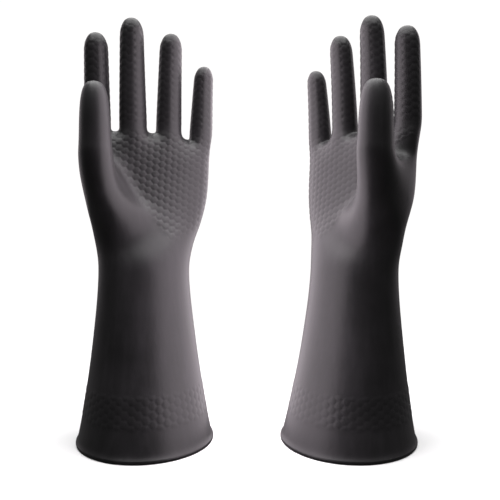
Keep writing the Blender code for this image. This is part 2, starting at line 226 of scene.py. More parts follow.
def slab_depth(share, flatness):
    """Half depth of a hand's section at a share of its half width: an oval or a flatter slab."""
    share = min(1.0, abs(share))
    return mix(math.sqrt(1 - share**2), (1 - share**3.2) ** (1 / 2.6), flatness)


def spread(half_width, thumb_inner=None):
    """Where a ring's twelve columns lie across the hand, from the thumb side."""
    if thumb_inner is None:
        return [mix(half_width, -half_width, (n + 0.5) / ROW) for n in range(ROW)]
    thumb = [mix(half_width, thumb_inner, (n + 0.7) / 2.7) for n in range(3)]
    return thumb + [mix(thumb_inner, -half_width, (n + 1) / 9.5) for n in range(ROW - 3)]


def hand_ring(middle, half, height, flatness, front=None, back=None):
    """An oval ring, or a slab whose columns lie where front and back say."""
    places = []
    for n, turn in enumerate(turns(COLUMNS)):
        x = half[0] * swell(COLUMNS) * math.cos(turn)
        y = half[1] * swell(COLUMNS) * math.sin(turn)
        if back is not None and n not in (0, ROW + 1):
            x = back[n - 1] if n <= ROW else front[COLUMNS - 1 - n]
            y = half[1] * slab_depth(x / half[0], flatness) * (1 if n <= ROW else -1)
        places.append(Vector((middle[0] + x, middle[1] + y, height)))
    return places


def station(up, side, back, wide, deep, flat, thumb_inner):
    middle = (mix(wrist.x, KNUCKLE_MIDDLE.x, side), mix(wrist.y, KNUCKLE_MIDDLE.y, back))
    half = (mix(WRIST_HALF.x, KNUCKLE_HALF.x, wide), mix(WRIST_HALF.y, KNUCKLE_HALF.y, deep))
    height = wrist.z + HAND_HEIGHT * up
    if thumb_inner is None:
        return hand_ring(middle, half, height, flat)
    return hand_ring(middle, half, height, flat, spread(half[0], thumb_inner * MM), spread(half[0]))


# The ball of the thumb starts as a soft swelling of the wrist, low on the thumb's side.
SWELLING = {2: 7 * MM, 3: 18 * MM}  # station: how far it swells forward
SWELLING_COLUMNS = {  # column: its share of the swelling
    COLUMNS - 4: 0.25, COLUMNS - 3: 0.6, COLUMNS - 2: 1.0, COLUMNS - 1: 0.9, 0: 0.45, 1: 0.15,
}

hand_places = [station(*row) for row in HAND_RINGS]
for number, forward in SWELLING.items():
    for column, share in SWELLING_COLUMNS.items():
        hand_places[number][column].y -= forward * share
lowest, highest = (round(hand_places[n][0].z, 4) for n in (0, -1))
print("hand stations", len(hand_places), "from", lowest, "to", highest)

# %% [markdown]
# ## The fingers' sizes
#
# Each finger is a slightly tapering tube with a dome at its tip. Its root lies
# a little behind the cuff's axis and its tip leans forward, as a relaxed hand's
# does. The heights come from the bending joints, so that the skin's rings and
# seams lie at the solid model's bends.

# %% Plan the four fingers
FINGER_POINTS = 8
FINGERS = {
    # share of the palm's half width, then in mm: web, length, half width at root and tip,
    # depth behind the cuff's axis at root and tip, sideways lean
    "index": (0.794, 0, 77, 10.9, 9.6, 31, 26, 0.5),
    "middle": (0.252, 0, 89, 11.6, 9.6, 26, 18.5, 0.8),
    "ring": (-0.318, -1, 80, 10.9, 9.2, 27, 21, -2.0),
    "little": (-0.850, -6, 60, 10.0, 8.0, 28, 24, -2.5),
}


def finger_plan(name):
    share_across, *sizes = FINGERS[name]
    web, length, root_half, tip_half, root_back, tip_back, lean = (v * MM for v in sizes)
    across = share_across * KNUCKLE_HALF.x
    foot = wrist.z + HAND_HEIGHT + web

    def middle(height):
        share = (height - foot) / length
        forward = max(0.0, share) ** 1.5
        sideways = KNUCKLE_MIDDLE.x + across + lean * share
        return Vector((sideways, mix(root_back, tip_back, forward), height))

    def half(height):
        share = min(1.0, max(0.0, (height - foot) / length) * 1.15)
        wide = mix(root_half, tip_half, share)
        return wide, wide * 1.06

    return {
        "foot": foot, "tip": foot + length, "middle": middle, "half": half,
        "root": bend_line(name + "_root").z, "knuckle": bend_line(name + "_knuckle").z,
    }


plans = {name: finger_plan(name) for name in FINGERS}
for name, plan in plans.items():
    print(name, *(f"{what} {plan[what]:.4f}" for what in ("foot", "root", "tip")))

# %% [markdown]
# ## The knuckle ring
#
# The last ring of the hand takes its columns from the fingers above it. The
# palm needs a skin fine enough for its raised pattern, so half way between each
# two stations one more ring goes in, on a smooth curve through its neighbours.

# %% Place the knuckles
MIDDLE_BULGE, SIDE_BULGE = 1.08, 0.85  # how far a finger's columns stand out, to its half depth
KNUCKLE_PULL = 0.6  # how far the slab's points are drawn towards the fingers' feet
columns = []
for plan in plans.values():
    middle = plan["middle"](plan["foot"])
    wide = plan["half"](plan["foot"])[0] * swell(FINGER_POINTS) * math.sqrt(0.5)
    columns += [x - KNUCKLE_MIDDLE.x for x in (middle.x + wide, middle.x, middle.x - wide)]
places = hand_ring(KNUCKLE_MIDDLE, KNUCKLE_HALF, wrist.z + HAND_HEIGHT - WEB_DROP, 1.0, columns, columns)
for number, plan in enumerate(plans.values()):
    middle, deep = plan["middle"](plan["foot"]), plan["half"](plan["foot"])[1]
    for column in range(3 * number, 3 * number + 3):
        for n in (column + 1, COLUMNS - 1 - column):
            front = 1 if n <= ROW else -1
            bulge = MIDDLE_BULGE if column % 3 == 1 else SIDE_BULGE
            places[n].y = mix(places[n].y, middle.y + front * deep * bulge, KNUCKLE_PULL)
            places[n].z = plan["foot"] - WEB_DROP
hand_places.append(places)
print("knuckle ring at", round(places[0].z, 4), "with", len(places), "points")


# %% Grow the hand, with a ring half way between stations
def half_way(before, low, high, after):
    """The ring between two rings, on a smooth curve through four."""
    return [((b + c) * 9 - a - d) / 16 for a, b, c, d in zip(before, low, high, after)]


WRIST_RINGS = 3  # stations up to here have no ring half way below them
PALM_START = 4  # rings below this station are the wrist's skin, and the rest the palm's
hand_rings = []
for number, places in enumerate(hand_places):
    zone = ZONES["wrist" if number < PALM_START else "palm"]
    if number >= WRIST_RINGS:
        after = hand_places[min(number + 1, len(hand_places) - 1)]
        between = half_way(hand_places[number - 2], hand_places[number - 1], places, after)
        ring = raise_ring(cage, ring, between, zone)
        hand_rings.append(ring)
    ring = raise_ring(cage, ring, places, zone)
    hand_rings.append(ring)
print("hand rings", len(hand_rings), "faces", len(cage.faces))

# %% [markdown]
# ## The webs
#
# Between two fingers lies a web: a small saddle of rubber, made from two faces
# that rise from the palm and from the back of the hand to a short ridge.

# %% Span the webs between the fingers
names = list(plans)
webs = []
for number in range(3):
    pair = []
    for name, side in ((names[number], -1), (names[number + 1], 1)):
        plan = plans[name]
        middle = plan["middle"](plan["foot"])
        wide = plan["half"](plan["foot"])[0] * swell(FINGER_POINTS)
        height = min(plans[names[number]]["foot"], plans[names[number + 1]]["foot"])
        pair.append(cage.verts.new((middle.x + side * wide, middle.y, height)))
    near, far = pair
    front = ring[COLUMNS - 3 - 3 * number], ring[COLUMNS - 4 - 3 * number]
    back = ring[3 * number + 3], ring[3 * number + 4]
    for corners in ((front[0], near, far, front[1]), (near, back[0], back[1], far)):
        cage.faces.new(corners).material_index = ZONES["palm"]
    webs.append(pair)
print("webs", len(webs))

# %% [markdown]
# ## Growing a finger
#
# A finger's first loop is made of its three columns in front, three behind and
# the web points beside it: eight points in all. Extruding it gives the tube.
# Its skin is parted from the palm's below the root's bend, and again half way
# between its two bends, so that each piece has only one bend to follow.

# %% Grow the fingers
ROOT_SPAN, KNUCKLE_SPAN = 9 * MM, 9.5 * MM  # how far a bend reaches below and above its axis
DOME_HEIGHT, DOME_TOP, DOME_WIDTH = 0.85, 0.08, 0.52  # the tip's dome, to the tip's half width


def finger_places(plan, height, grow=1.0):
    middle, (wide, deep) = plan["middle"](height), plan["half"](height)
    wide, deep = (size * (grow * swell(FINGER_POINTS)) for size in (wide, deep))
    return [middle + Vector((wide * math.cos(t), deep * math.sin(t), 0)) for t in turns(FINGER_POINTS)]


def close_tip(bm, loop, zone):
    """Cap a finger's last ring with one face, which smoothing turns into a dome."""
    made = bmesh.ops.contextual_create(bm, geom=edges_of(bm, loop))
    made["faces"][0].material_index = zone


for number, (name, plan) in enumerate(plans.items()):
    outer = ring[0] if number == 0 else webs[number - 1][1]
    inner = ring[ROW + 1] if number == 3 else webs[number][0]
    back = [ring[3 * number + 1 + k] for k in range(3)]
    front = [ring[COLUMNS - 1 - 3 * number - k] for k in (2, 1, 0)]
    loop = [outer, *back, inner, *front]
    lower, upper = ZONES[name + "_lower"], ZONES[name + "_upper"] = len(ZONES), len(ZONES) + 1
    root, knuckle, tip = plan["root"], plan["knuckle"], plan["tip"]
    tip_half = plan["half"](tip)[0]
    middle_seam = (root + ROOT_SPAN + knuckle - KNUCKLE_SPAN) / 2
    loop = raise_ring(cage, loop, finger_places(plan, root - ROOT_SPAN), ZONES["palm"])
    for height in (root, middle_seam):
        loop = raise_ring(cage, loop, finger_places(plan, height), lower)
    below_dome = tip - tip_half * DOME_HEIGHT
    thirds = (mix(knuckle, below_dome, share) for share in (0.33, 0.67))
    for height in (knuckle, *thirds, below_dome):
        loop = raise_ring(cage, loop, finger_places(plan, height), upper)
    top_ring = finger_places(plan, tip + tip_half * DOME_TOP, DOME_WIDTH)
    loop = raise_ring(cage, loop, top_ring, upper)
    close_tip(cage, loop, upper)
print("with fingers", len(cage.faces), "faces")

# %% [markdown]
# ## The thumb
#
# The thumb stands in front of the palm, facing the fingers, and its ball swells
# out of the heel of the hand. Three columns by three rows of the palm are
# removed on the thumb's side, and the open edge of that hole is extruded: first
# out to a slanting ring that makes the ball, then up the thumb.

# %% Open the palm for the thumb
THUMB_MIDDLE = Vector((38, -22)) * MM
THUMB_HALF = Vector((12.5, 16.5)) * MM
THUMB_SPAN, THUMB_REACH, THUMB_KNUCKLE_SPAN = 6.5 * MM, 10 * MM, 12.5 * MM
thumb_root, thumb_knuckle = bend_line("thumb_root").z, bend_line("thumb_knuckle").z
thumb_web = wrist.z + HAND_HEIGHT - 28 * MM
thumb_tip = thumb_web + 57 * MM

rows = hand_rings[WRIST_RINGS + 1:-2]
bottom, top = rows[0], rows[-1]
last = COLUMNS - 3
patch = []
for low, high in zip(rows, rows[1:]):
    for n in range(last, COLUMNS):
        corners = {low[n], low[(n + 1) % COLUMNS], high[n], high[(n + 1) % COLUMNS]}
        patch.append(next(f for f in low[n].link_faces if set(f.verts) == corners))
loop = [top[0], top[last + 2], top[last + 1], top[last]]
loop += [row[last] for row in reversed(rows[1:-1])]
loop += [bottom[last], bottom[last + 1], bottom[last + 2], bottom[0]]
loop += [row[0] for row in rows[1:-1]]
THUMB_COLUMNS = len(loop)
thumb_turns = turns(THUMB_COLUMNS, math.pi / 2 - 3 * math.pi / THUMB_COLUMNS)
bmesh.ops.delete(cage, geom=patch, context="FACES")
print("thumb's hole", len(patch), "faces,", THUMB_COLUMNS, "edges")


# %% Grow the thumb
BALL_WIDENING, BALL_INWARDS, BALL_BACK = 1.14, 1.5 * MM, 8 * MM
BALL_DROP, BALL_SLANT = 17 * MM, 15 * MM


def thumb_places(height, grow=1.0):
    middle = Vector((THUMB_MIDDLE.x, THUMB_MIDDLE.y, height))
    wide, deep = (size * grow * swell(THUMB_COLUMNS) for size in THUMB_HALF)
    return [middle + Vector((wide * math.cos(t), deep * math.sin(t), 0)) for t in thumb_turns]


ball = []
for turn in thumb_turns:
    wide = THUMB_HALF.x * BALL_WIDENING * swell(THUMB_COLUMNS)
    deep = THUMB_HALF.y * swell(THUMB_COLUMNS)
    place = Vector((THUMB_MIDDLE.x - BALL_INWARDS, THUMB_MIDDLE.y + BALL_BACK, thumb_web - BALL_DROP))
    ball.append(place + Vector((wide * math.cos(turn), deep * math.sin(turn), BALL_SLANT * math.sin(turn))))
lower, upper = ZONES["thumb_lower"], ZONES["thumb_upper"] = len(ZONES), len(ZONES) + 1
thumb_seam = (thumb_root + THUMB_REACH + thumb_knuckle - THUMB_KNUCKLE_SPAN) / 2
hole = loop
loop = around_ball = raise_ring(cage, loop, ball, ZONES["palm"])
loop = raise_ring(cage, loop, thumb_places(thumb_root - THUMB_SPAN, 1.05), ZONES["palm"])
for height, grow in ((thumb_root, 1.0), (thumb_seam, 0.96)):
    loop = raise_ring(cage, loop, thumb_places(height, grow), lower)
for height, grow in (
    (thumb_knuckle, 0.93), (mix(thumb_knuckle, thumb_tip, 0.7), 0.80), (thumb_tip + 0.6 * MM, 0.44),
):
    loop = raise_ring(cage, loop, thumb_places(height, grow), upper)
close_tip(cage, loop, upper)
print("with thumb", len(cage.faces), "faces")

# %% [markdown]
# ## Relaxing the ball of the thumb
#
# Where the thumb's rings leave the palm, the cage turns sharply, and smoothing
# alone would leave a fold under the ball. Each point there is moved part of the
# way to the middle of its neighbours a few times, most of all on the heel of the
# hand, so that the ball runs down into the wrist. The points along the side of
# the hand stay put on the hole's edge, because they draw the outline.

# %% Relax the ball of the thumb
heel_points = [row[n] for row in hand_rings[2:WRIST_RINGS + 2] for n in range(COLUMNS - 7, COLUMNS)]
side_points = {row[0] for row in hand_rings}
edge_points = [v for v in hole if v not in side_points]
for count, points in ((5, heel_points), (2, edge_points), (1, around_ball)):
    for _ in range(count):
        bmesh.ops.smooth_vert(
            cage, verts=points, factor=0.5, use_axis_x=True, use_axis_y=True, use_axis_z=True,
        )
bmesh.ops.delete(cage, geom=[v for v in cage.verts if not v.link_faces], context="VERTS")
bmesh.ops.recalc_face_normals(cage, faces=cage.faces)
open_count = sum(e.is_boundary for e in cage.edges)
print("cage", len(cage.verts), "points", len(cage.faces), "faces,", open_count, "open edges")

# %% [markdown]
# ## Smoothing the cage
#
# A Subdivision Surface of four levels turns the cage into a skin with a point
# about every 0.7 mm, fine enough to carry the raised pattern as real relief. A
# second, coarser copy of two levels serves for the inside of the wall, which is
# plain. Both come from the same cage, so they stay parallel.

# %% Smooth the outer and the inner skin
def smoothed(name, levels):
    mesh = bpy.data.meshes.new(name)
    cage.to_mesh(mesh)
    for number in range(len(ZONES)):
        mesh.materials.append(None)
    holder = bpy.data.objects.new(name, mesh)
    bpy.context.scene.collection.objects.link(holder)
    modifier = holder.modifiers.new("smooth", "SUBSURF")
    modifier.levels = modifier.render_levels = levels
    bpy.context.view_layer.update()
    skin = bpy.data.meshes.new_from_object(holder.evaluated_get(bpy.context.evaluated_depsgraph_get()))
    bpy.data.objects.remove(holder)
    return skin


def read_points(mesh, what):
    """Every point's place ("co") or normal ("normal"), one row a point."""
    flat = np.empty(len(mesh.vertices) * 3, np.float32)
    mesh.vertices.foreach_get(what, flat)
    return flat.reshape(-1, 3).astype(float)


outer_skin = smoothed("outer_skin", 4)
inner_skin = smoothed("inner_skin", 2)
print("outer skin", len(outer_skin.polygons), "faces, inner skin", len(inner_skin.polygons), "faces")

# %% [markdown]
# ## The raised scale pattern
#
# For grip, the former's palm and fingers are cut with columns of small cups,
# which leave low rounded scales on the rubber, each column shifted by half a
# scale. On the palm the scales are 5.4 mm apart and 0.4 mm high, with a soft top
# and a steeper lower lip. They are larger and lower on the fingers, and a band
# of them runs round the cuff. A bump texture could fake them, but moving them
# into the mesh itself makes them real: they show at the outline and in the hand.

# %% The shape of one scale, repeated
LOWER_REACH, UPPER_REACH, SIDE_REACH = 0.46, 0.66, 0.70  # a scale's extent, to its spacing
ROUNDING = 1.25


def scales(across, up, column, period):
    """Height of the scale pattern: 0 in the grooves, 1 on the tops.

    Scales stand in columns, one every period, and each second column is half a period lower."""
    best = np.zeros_like(across)
    for side in (-1, 0, 1):
        number = np.floor(across / column + 0.5) + side
        shift = np.where(np.mod(number, 2) > 0.5, period / 2, 0.0)
        for step in (-1, 0, 1):
            level = (np.floor((up - shift) / period + 0.5) + step) * period + shift
            rise = up - level
            reach = np.where(rise < 0, period * LOWER_REACH, period * UPPER_REACH)
            far = ((across - number * column) / (column * SIDE_REACH)) ** 2 + (rise / reach) ** 2
            best = np.maximum(best, 1 - np.clip(far, 0, 1) ** ROUNDING)
    return best


skin_points, skin_normals = read_points(outer_skin, "co"), read_points(outer_skin, "normal")
x, y, z = skin_points.T
relief = np.zeros(len(x))
print("points to raise or leave", len(relief))

# %% Raise the scales on the palm
PALM_HEIGHT, PALM_SLANT = 0.40 * MM, 0.10
facing = -skin_normals[:, 1]
# The pattern ends along the foot of the thumb (height: how far across) and along the heel
# (across: how high), and stays off the ball of the thumb, which stands in front of the palm.
thumb_edge = np.interp(
    z, [0.172, 0.190, 0.205, 0.222, 0.238, 0.262], [-0.013, -0.003, 0.006, 0.017, 0.021, 0.060],
)
heel = np.interp(x, [-0.060, -0.045, -0.021, -0.002, 0.02], [0.178, 0.170, 0.163, 0.180, 0.200])
behind_ball = y + 0.006 + 0.7 * np.maximum(0, 0.012 - x)
palm_mask = smooth_step(0.15, 0.55, facing) * smooth_step(-0.002, 0.006, thumb_edge - x)
palm_mask *= smooth_step(0.0, 0.012, z - heel) * smooth_step(0.0, 0.012, behind_ball)
lowest_foot = min(plan["foot"] for plan in plans.values())
palm_mask *= 1 - smooth_step(lowest_foot - 4 * MM, lowest_foot + 8 * MM, z)
relief += PALM_HEIGHT * palm_mask * scales(x + PALM_SLANT * z, z, 5.2 * MM, 5.4 * MM)
print("palm raised up to", round(relief.max() / MM, 2), "mm")

# %% Raise the scales on the fingers
FINGER_HEIGHT, UNROLL_RADIUS = 0.34 * MM, 10.2 * MM
for plan in plans.values():
    heights = np.linspace(plan["foot"] - 0.01, plan["tip"], 24)
    middle = np.array([plan["middle"](height) for height in heights])
    centre_x, centre_y = (np.interp(z, middle[:, 2], middle[:, k]) for k in (0, 1))
    around = np.arctan2(x - centre_x, -(y - centre_y))
    near = (np.abs(x - centre_x) < 15 * MM) & (y > -0.012)
    fade = smooth_step(plan["foot"] - 2 * MM, plan["foot"] + 10 * MM, z) * near
    fade = fade * (1 - smooth_step(1.35, 1.9, np.abs(around)))
    fade = fade * (1 - smooth_step(plan["tip"] - 9 * MM, plan["tip"] - 4 * MM, z))
    relief += FINGER_HEIGHT * fade * scales(centre_x + around * UNROLL_RADIUS, z, 6.3 * MM, 5.9 * MM)
print("with fingers", int((relief > 0.05 * MM).sum()), "points raised")

# %% Raise the band on the cuff and move the skin
BAND_HEIGHT, BAND_COLUMNS = 0.30 * MM, 54
cuff_turn = np.arctan2(x, -y) / (2 * math.pi)
band = smooth_step(22 * MM, 26 * MM, z) * (1 - smooth_step(46 * MM, 50 * MM, z))
relief += BAND_HEIGHT * band * scales(cuff_turn * BAND_COLUMNS, z, 1.0, 6.8 * MM)

skin_points += skin_normals * relief[:, None]
outer_skin.vertices.foreach_set("co", skin_points.astype(np.float32).ravel())
outer_skin.update()
print("raised", int((relief > 0.05 * MM).sum()), "points, up to", round(relief.max() / MM, 2), "mm")

# %% [markdown]
# ## The wall
#
# Rubber has thickness, and it shows at the open cuff. The inner skin is moved
# 1.6 mm inwards along its own normals and turned to face the inside. Each skin
# also stores its smooth normals before it is cut up: the pieces get them back
# afterwards, so that light runs over a joint as if the rubber were whole.

# %% Give the wall its thickness
WALL = 1.6 * MM
inner_points = read_points(inner_skin, "co") - read_points(inner_skin, "normal") * WALL
inner_skin.vertices.foreach_set("co", inner_points.astype(np.float32).ravel())
inner_skin.update()
inner_skin.flip_normals()
for skin in (outer_skin, inner_skin):
    kept = skin.attributes.new("kept_normal", "FLOAT_VECTOR", "POINT")
    kept.data.foreach_set("vector", read_points(skin, "normal").astype(np.float32).ravel())
raised = outer_skin.attributes.new("raised", "FLOAT", "POINT")
raised.data.foreach_set("value", (relief / relief.max()).astype(np.float32))
print("wall", round(WALL / MM, 2), "mm")

# %% [markdown]
# ## Cutting the shell into its bending pieces
#
# In the moving model a glove is a chain of bodies, so the one shell is cut
# beside its bends: at the top of the cuff, across the heel of the hand below the
# thumb, above each web, and half way between a finger's two bends. Each piece
# takes its part of the outer and the inner skin, and all its open edges are
# bridged from skin to skin, so each piece is closed.

# %% Cut out one piece
def piece_of(zone):
    bm = bmesh.new()
    for slot, skin in ((0, outer_skin), (1, inner_skin)):
        part = bmesh.new()
        part.from_mesh(skin)
        bmesh.ops.delete(part, geom=[f for f in part.faces if f.material_index != zone], context="FACES")
        bmesh.ops.delete(part, geom=[v for v in part.verts if not v.link_faces], context="VERTS")
        for face in part.faces:
            face.material_index = slot
        carried = bpy.data.meshes.new("carried")
        part.to_mesh(carried)
        part.free()
        bm.from_mesh(carried)
        bpy.data.meshes.remove(carried)
    for face in bm.faces:
        face.smooth = True
    close_wall(bm)
    return bm


def open_loops(bm):
    """The open edges, gathered into closed loops.

    They wait in a dict, because a set of edges has another order at each run."""
    left, loops = dict.fromkeys(e for e in bm.edges if e.is_boundary), []
    while left:
        grow = [next(iter(left))]
        found = list(grow)
        del left[grow[0]]
        while grow:
            edge = grow.pop()
            for vert in edge.verts:
                for other in vert.link_edges:
                    if other in left:
                        del left[other]
                        grow.append(other)
                        found.append(other)
        loops.append(found)
    return loops


def close_wall(bm):
    """Bridge each open outer loop to the inner loop beside it."""
    loops = open_loops(bm)
    outer = [loop for loop in loops if loop[0].link_faces[0].material_index == 0]
    inner = [loop for loop in loops if loop[0].link_faces[0].material_index == 1]

    def middle(loop):
        return sum((v.co for e in loop for v in e.verts), Vector()) / (2 * len(loop))

    for loop in outer:
        partner = min(inner, key=lambda other: (middle(other) - middle(loop)).length)
        made = bmesh.ops.bridge_loops(bm, edges=loop + partner)
        for face in made["faces"]:
            face.material_index = 0
            face.smooth = True


pieces = {name: piece_of(zone) for name, zone in ZONES.items()}
for name, bm in pieces.items():
    print(name, len(bm.faces), "faces", sum(e.is_boundary for e in bm.edges), "open edges")

# %% [markdown]
# ## The rubber's surface
#
# Cured black rubber isn't one flat black. Wax slowly rises to its surface and
# leaves a thin grey haze, called bloom, in soft clouds and in the long runs that
# the dipping left. Where a hand rubs it, on the tops of the scales, the haze
# wears off and the rubber is smoother. The surface also has a very fine grain
# from the former. All of this is one shader node group with named inputs, used
# by the outside, the inside and the rim with different values.

# %% Build the shared surface group
def link(tree, source, target):
    tree.links.new(source, target)


def noise_node(tree, coordinates, scale, detail=3.0, roughness=0.55, stretch=(1, 1, 1)):
    """Noise on the rubber; stretch under 1 draws it out along that direction."""
    mapping = tree.nodes.new("ShaderNodeMapping")
    mapping.inputs["Scale"].default_value = stretch
    link(tree, coordinates, mapping.inputs["Vector"])
    noise = tree.nodes.new("ShaderNodeTexNoise")
    noise.inputs["Scale"].default_value = scale
    noise.inputs["Detail"].default_value = detail
    noise.inputs["Roughness"].default_value = roughness
    link(tree, mapping.outputs["Vector"], noise.inputs["Vector"])
    return noise.outputs["Fac"]


def range_node(tree, value, low, high, to_low, to_high):
    """Stretch a value from one range to another, stopping at its ends."""
    node = tree.nodes.new("ShaderNodeMapRange")
    for socket, number in zip(("From Min", "From Max", "To Min", "To Max"), (low, high, to_low, to_high)):
        node.inputs[socket].default_value = number
    link(tree, value, node.inputs["Value"])
    return node.outputs["Result"]


def math_node(tree, first, second, operation="ADD"):
    """Add or multiply two values, each a number or another node's output."""
    node = tree.nodes.new("ShaderNodeMath")
    node.operation = operation
    for socket, value in zip(node.inputs, (first, second)):
        if isinstance(value, (int, float)):
            socket.default_value = value
        else:
            link(tree, value, socket)
    return node.outputs["Value"]


def mix_node(tree, kind, share, first, second):
    node = tree.nodes.new("ShaderNodeMix")
    node.data_type = kind
    for socket, source in zip(("Factor", "A", "B"), (share, first, second)):
        link(tree, source, node.inputs[socket])
    return node.outputs["Result"]


def bloom_group():
    group = bpy.data.node_groups.new("rubber bloom", "ShaderNodeTree")
    for name, kind in (
        ("Deep colour", "Color"), ("Bloom colour", "Color"), ("Bloom", "Float"),
        ("Polished roughness", "Float"), ("Bloomed roughness", "Float"), ("Grain", "Float"),
    ):
        group.interface.new_socket(name, in_out="INPUT", socket_type="NodeSocket" + kind)
    for name, kind in (("Colour", "Color"), ("Roughness", "Float"), ("Height", "Float")):
        group.interface.new_socket(name, in_out="OUTPUT", socket_type="NodeSocket" + kind)
    given = group.nodes.new("NodeGroupInput").outputs
    result = group.nodes.new("NodeGroupOutput").inputs
    place = group.nodes.new("ShaderNodeTexCoord").outputs["Object"]
    raised = group.nodes.new("ShaderNodeAttribute")
    raised.attribute_name = "raised"
    worn = raised.outputs["Fac"]
    clouds = range_node(group, noise_node(group, place, 22, 4), 0.35, 0.72, 0.0, 1.0)
    runs = noise_node(group, place, 150, 2, stretch=(1, 1, 0.06))
    runs = range_node(group, runs, 0.45, 0.75, 0.0, 0.5)
    scuffs = range_node(group, noise_node(group, place, 420, 5, 0.7), 0.60, 0.72, 0.0, 0.55)
    haze = math_node(group, math_node(group, clouds, runs), scuffs)
    haze = math_node(group, haze, range_node(group, worn, 0.25, 0.9, 1.0, 0.55), "MULTIPLY")
    haze = math_node(group, haze, given["Bloom"], "MULTIPLY")
    tint = mix_node(group, "RGBA", haze, given["Deep colour"], given["Bloom colour"])
    link(group, tint, result["Colour"])
    rough = mix_node(group, "FLOAT", haze, given["Polished roughness"], given["Bloomed roughness"])
    link(group, rough, result["Roughness"])
    pebble = noise_node(group, place, 1500, 2)
    ripple = noise_node(group, place, 260, 2, stretch=(1, 1, 0.3))
    ripple = math_node(group, ripple, 1.6, "MULTIPLY")
    height = math_node(group, math_node(group, pebble, ripple), given["Grain"], "MULTIPLY")
    link(group, height, result["Height"])
    return group


bloom = bloom_group()
print("bloom group with", len(bloom.nodes), "nodes")

# %% [markdown]
# ## Three finishes of one rubber
#
# Outside, the rubber is a deep, faintly violet black with a satin gloss. The
# inside was dusted with powder so that a hand slides in, so it is greyer and
# matt. The rolled rim is handled most and is the smoothest. Each finish is its
# own Principled shader fed by the shared group.

# %% Mix the finishes
GRAIN_DEPTH = 0.06 * MM
RUBBER_IOR = 1.52


def rubber(name, deep, haze, amount, polished, bloomed, grain, sheen):
    material = bpy.data.materials.new(name)
    material.use_nodes = True
    tree = material.node_tree
    shader = tree.nodes["Principled BSDF"]
    surface = tree.nodes.new("ShaderNodeGroup")
    surface.node_tree = bloom
    for socket, value in (
        ("Deep colour", (*deep, 1)), ("Bloom colour", (*haze, 1)), ("Bloom", amount),
        ("Polished roughness", polished), ("Bloomed roughness", bloomed), ("Grain", grain),
    ):
        surface.inputs[socket].default_value = value
    bump = tree.nodes.new("ShaderNodeBump")
    bump.inputs["Strength"].default_value = 0.6
    bump.inputs["Distance"].default_value = GRAIN_DEPTH
    link(tree, surface.outputs["Height"], bump.inputs["Height"])
    link(tree, surface.outputs["Colour"], shader.inputs["Base Color"])
    link(tree, surface.outputs["Roughness"], shader.inputs["Roughness"])
    link(tree, bump.outputs["Normal"], shader.inputs["Normal"])
    shader.inputs["IOR"].default_value = RUBBER_IOR
    shader.inputs["Sheen Weight"].default_value = sheen
    shader.inputs["Sheen Roughness"].default_value = 0.55
    material.diffuse_color = (*deep, 1)
    return material


outside = rubber(
    "dipped black rubber", deep=(0.0085, 0.0078, 0.0088), haze=(0.030, 0.027, 0.031),
    amount=0.55, polished=0.44, bloomed=0.56, grain=1.0, sheen=0.04,
)
inside = rubber(
    "powdered rubber inside", deep=(0.022, 0.021, 0.022), haze=(0.12, 0.118, 0.115),
    amount=0.9, polished=0.62, bloomed=0.85, grain=1.2, sheen=0.12,
)
rim_finish = rubber(
    "rolled rim rubber", deep=(0.008, 0.0075, 0.0083), haze=(0.030, 0.028, 0.031),
    amount=0.4, polished=0.36, bloomed=0.48, grain=0.8, sheen=0.03,
)
print("finishes", outside.name, "/", inside.name, "/", rim_finish.name)

# %% [markdown]
# ## The rolled rim
#
# Before it cures, the rubber's thin edge is rolled up a few turns. The roll keeps
# the opening from tearing. It is a ring with an oval section, flat underneath
# where it carries the glove and flat on top where it joins the wall, so one
# circle is squeezed to that section and spun about the cuff.

# %% Spin the rim
ROLL = Vector((1.76, 2.31)) * MM  # half the roll's width and height, before it is flattened
RIM_SECTION, RIM_STEPS = 28, 8 * COLUMNS
roll_middle = Vector((rim_radius - ROLL.x, bead_top / 2))
rim = bmesh.new()
bmesh.ops.create_circle(rim, segments=RIM_SECTION, radius=1)
for vert in rim.verts:
    height = roll_middle.y + vert.co.y * ROLL.y
    vert.co = (roll_middle.x + vert.co.x * ROLL.x, 0, min(max(height, 0.0), bead_top - 0.02 * MM))
bmesh.ops.spin(
    rim, geom=rim.verts[:] + rim.edges[:], cent=(0, 0, 0), axis=(0, 0, 1),
    angle=2 * math.pi, steps=RIM_STEPS, use_merge=True,
)
bmesh.ops.recalc_face_normals(rim, faces=rim.faces)
for face in rim.faces:
    face.smooth = True
pieces["rim"] = rim
print("rim", len(rim.faces), "faces, radius", round(rim_radius, 4))

# %% [markdown]
# ## A left and a right glove
#
# The left glove is the right one mirrored, so its faces are turned back
# outwards. Each piece is moved to its place in its mesh and gets its smooth
# normals back. The cuff, the rim and the palm are joined to their bodies; a
# piece beside a bend only has its place baked into its mesh.

# %% Helpers that place a piece and bake its transform
def placed(bm, side, name, finishes):
    copy = bm.copy()
    bmesh.ops.transform(copy, matrix=stands[side], verts=copy.verts)
    if side == "left":
        bmesh.ops.reverse_faces(copy, faces=copy.faces)
    mesh = bpy.data.meshes.new(name)
    copy.to_mesh(mesh)
    copy.free()
    for finish in finishes:
        mesh.materials.append(finish)
    kept = mesh.attributes.get("kept_normal")
    if kept:
        flat = np.empty(len(mesh.vertices) * 3, np.float32)
        kept.data.foreach_get("vector", flat)
        turned = flat.reshape(-1, 3) @ np.array(stands[side].to_3x3()).T
        mesh.attributes.remove(kept)
        mesh.normals_split_custom_set_from_vertices(turned.tolist())
    made = bpy.data.objects.new(name, mesh)
    bpy.context.scene.collection.objects.link(made)
    return made


def follow_bend(piece, side, joint, lower, upper, below, above):
    """Bake a piece's place into its mesh. The joint, the bodies and the heights below and above it are not
    used.
    """
    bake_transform(piece)


WRIST_SPAN = 26 * MM
print("bend spans in mm:", *(round(span / MM, 1) for span in (WRIST_SPAN, ROOT_SPAN, KNUCKLE_SPAN)))
